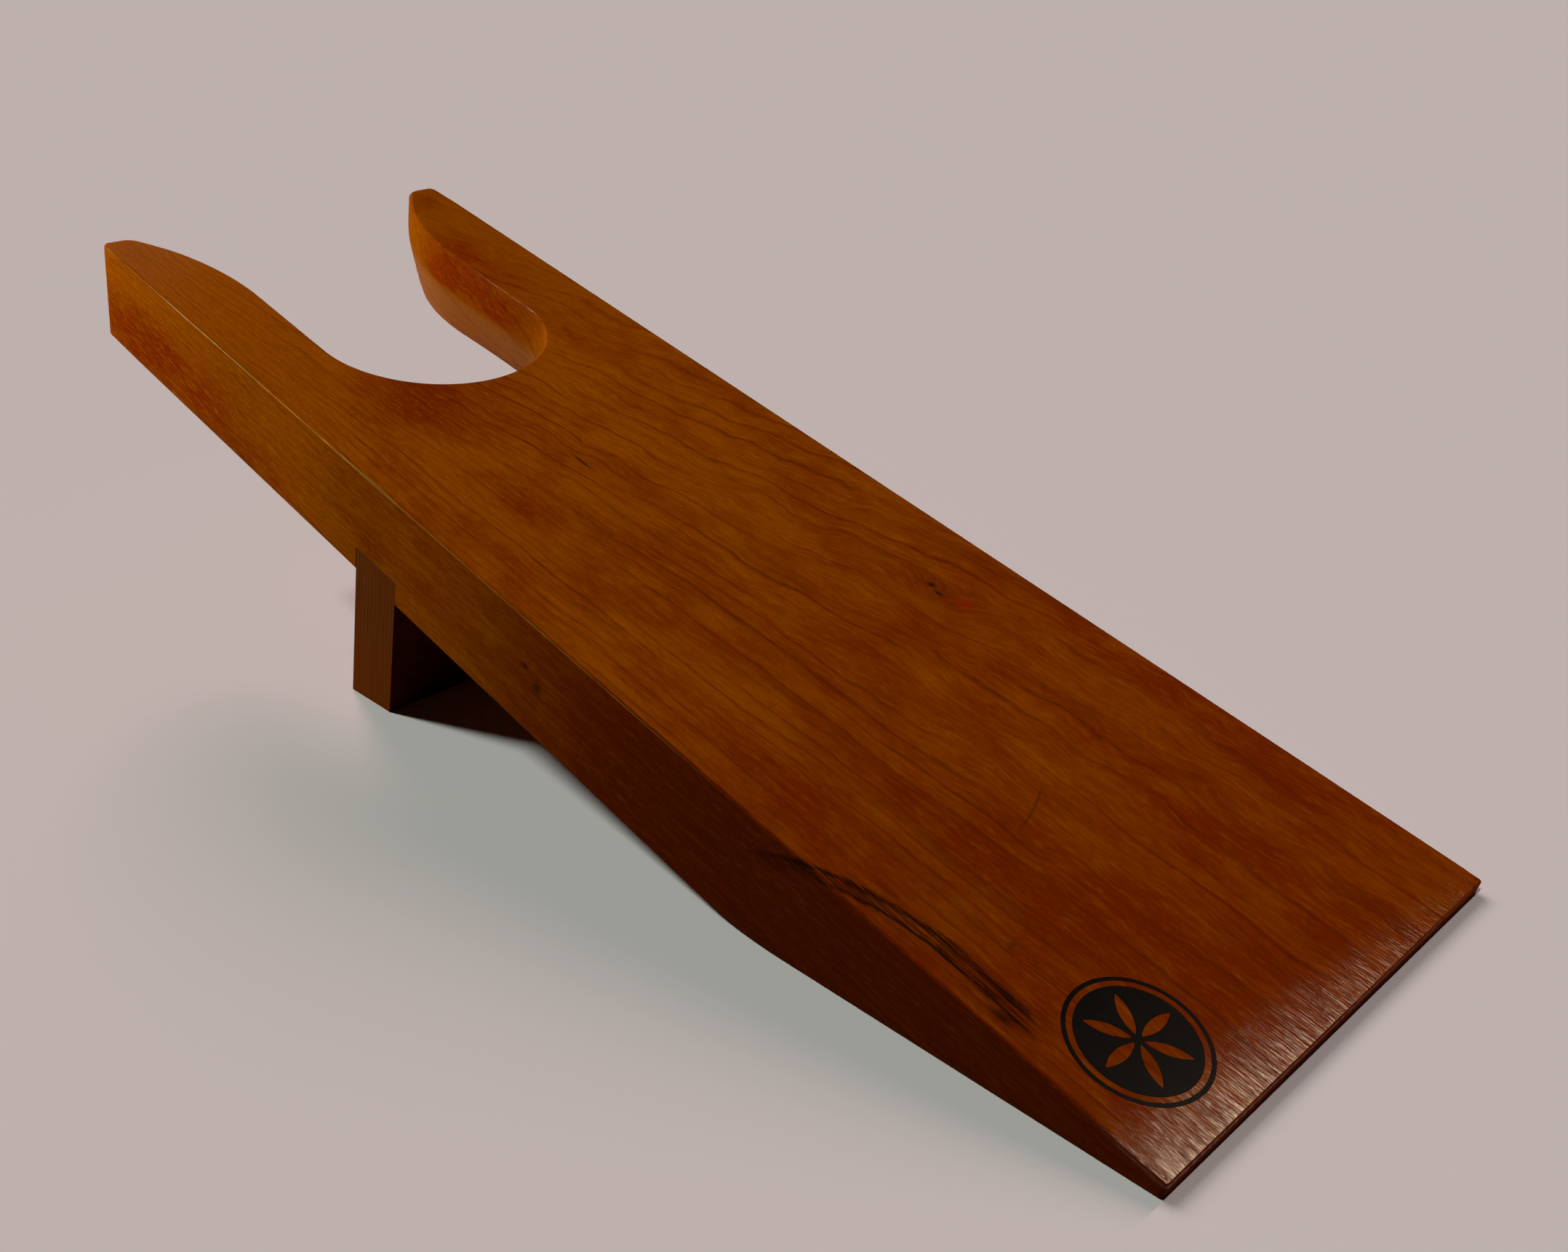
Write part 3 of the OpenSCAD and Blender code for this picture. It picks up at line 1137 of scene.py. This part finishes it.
def add_backdrop():
    """A pale dome round the stage, as bright as the floor. It is only seen: it neither lights nor shades."""
    material, _, glow = empty_material("backdrop", "ShaderNodeEmission")
    glow.inputs["Color"].default_value = BACKDROP
    builder = bmesh.new()
    bmesh.ops.create_icosphere(builder, subdivisions=4, radius=BACKDROP_R)
    mesh = bpy.data.meshes.new("backdrop")
    builder.to_mesh(mesh)
    builder.free()
    mesh.materials.append(material)
    dome = link(bpy.data.objects.new("backdrop", mesh))
    dome.visible_diffuse = False
    dome.visible_glossy = False
    dome.visible_transmission = False
    dome.visible_shadow = False


# ---------------------------------------------------------------- the object

def make_board():
    """The board with its dado and its mark's recesses, and the mark's two pieces."""
    petals = [petal_loop(math.radians(360 * i / PETALS)) for i in range(PETALS)]
    disc = circle_loop(MARK_AT, DISC_R, MARK_SEGMENTS)
    ring = circle_loop(MARK_AT, MARK_R, MARK_SEGMENTS)
    hole = circle_loop(MARK_AT, MARK_R - RING_W, MARK_SEGMENTS)
    board = new_piece("board_wood_body", board_body())
    dado_low = (-PAST_SIDE, FOOT_AT, -THICK - PAST_UNDER)
    dado_high = (WIDTH + PAST_SIDE, FOOT_AT + FOOT_THICK, DADO - THICK)
    recess = flat_inlay(disc, petals, -MARK_DEPTH, PAST_TOP, CUTTER_ARRIS)
    ring_recess = flat_inlay(ring, [hole], -MARK_DEPTH, PAST_TOP, CUTTER_ARRIS)
    cut(board, [block(dado_low, dado_high), recess, ring_recess])
    finish_shading(board, BOARD_CRISP)
    board.data.materials.clear()
    board.data.materials.append(varnished_wood("varnished_wood"))
    declare(board, "board")
    low = -MARK_DEPTH + MARK_GAP
    rosette = new_piece("mark_rosette", flat_inlay(disc, petals, low, 0.0, MARK_ARRIS))
    band = new_piece("mark_band", flat_inlay(ring, [hole], low, 0.0, MARK_ARRIS))
    ink = glossy_ink("glossy_ink")
    for piece, node in ((rosette, "mark_disc"), (band, "mark_ring")):
        piece.data.shade_flat()
        piece.data.materials.append(ink)
        declare(piece, node)
    return [board, rosette, band]


def make_foot():
    """The cross foot, and the CAD's own glue film with its material."""
    foot = new_piece("foot_block", foot_body())
    finish_shading(foot, FOOT_CRISP)
    foot.data.materials.append(foot_wood("foot_wood_grain"))
    declare(foot, "foot")
    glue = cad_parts["glue_film"]
    glue.data.materials.clear()
    glue.data.materials.append(dried_glue("dried_glue"))
    return [foot, glue]


def level_light(suns):
    """The light that some suns give a level surface, as red, green and blue."""
    total = Vector((0, 0, 0))
    for _, towards, strength, _, colour in suns:
        total += Vector(colour) * strength * Vector(towards).normalized().z
    return total


def light_level(name, towards, spread, light, floor):
    """A sun that gives a stated light to one part of the floor."""
    light_only(add_sun(name, towards, 1 / Vector(towards).normalized().z, spread, light), floor)


def light_scene(floor, apron, things):
    """Two suns behind the object, soft fill in front of it, and panels for the horns and the toe's sheen.

    The suns behind would draw a heavy line of shadow along the toe, so two softer ones light the apron there
    instead, and they make it as bright as the rest of the floor.
    """
    add_world(DUSK, DUSK_LIGHT)
    for sun in BACK_SUNS:
        light_only(add_sun(*sun), floor, *things)
    level = level_light(BACK_SUNS)
    for name, towards, spread, share in APRON_SUNS:
        light_level(name, towards, spread, level * share, apron)
    fill = [add_sun(*sun) for sun in FILL_SUNS] + [add_panel(*panel) for panel in FILL_PANELS]
    for light in fill:
        light.visible_camera = False
        light_only(light, *things)


add_camera()
paper = floor_paper("floor_paper")
floor = add_floor("floor", paper, APRON_FROM, FLOOR_REACH)
apron = add_floor("floor_apron", paper, -FLOOR_REACH, APRON_FROM)
add_backdrop()
things = make_board() + make_foot()
light_scene(floor, apron, things)
bpy.context.scene.view_settings.view_transform = "Standard"
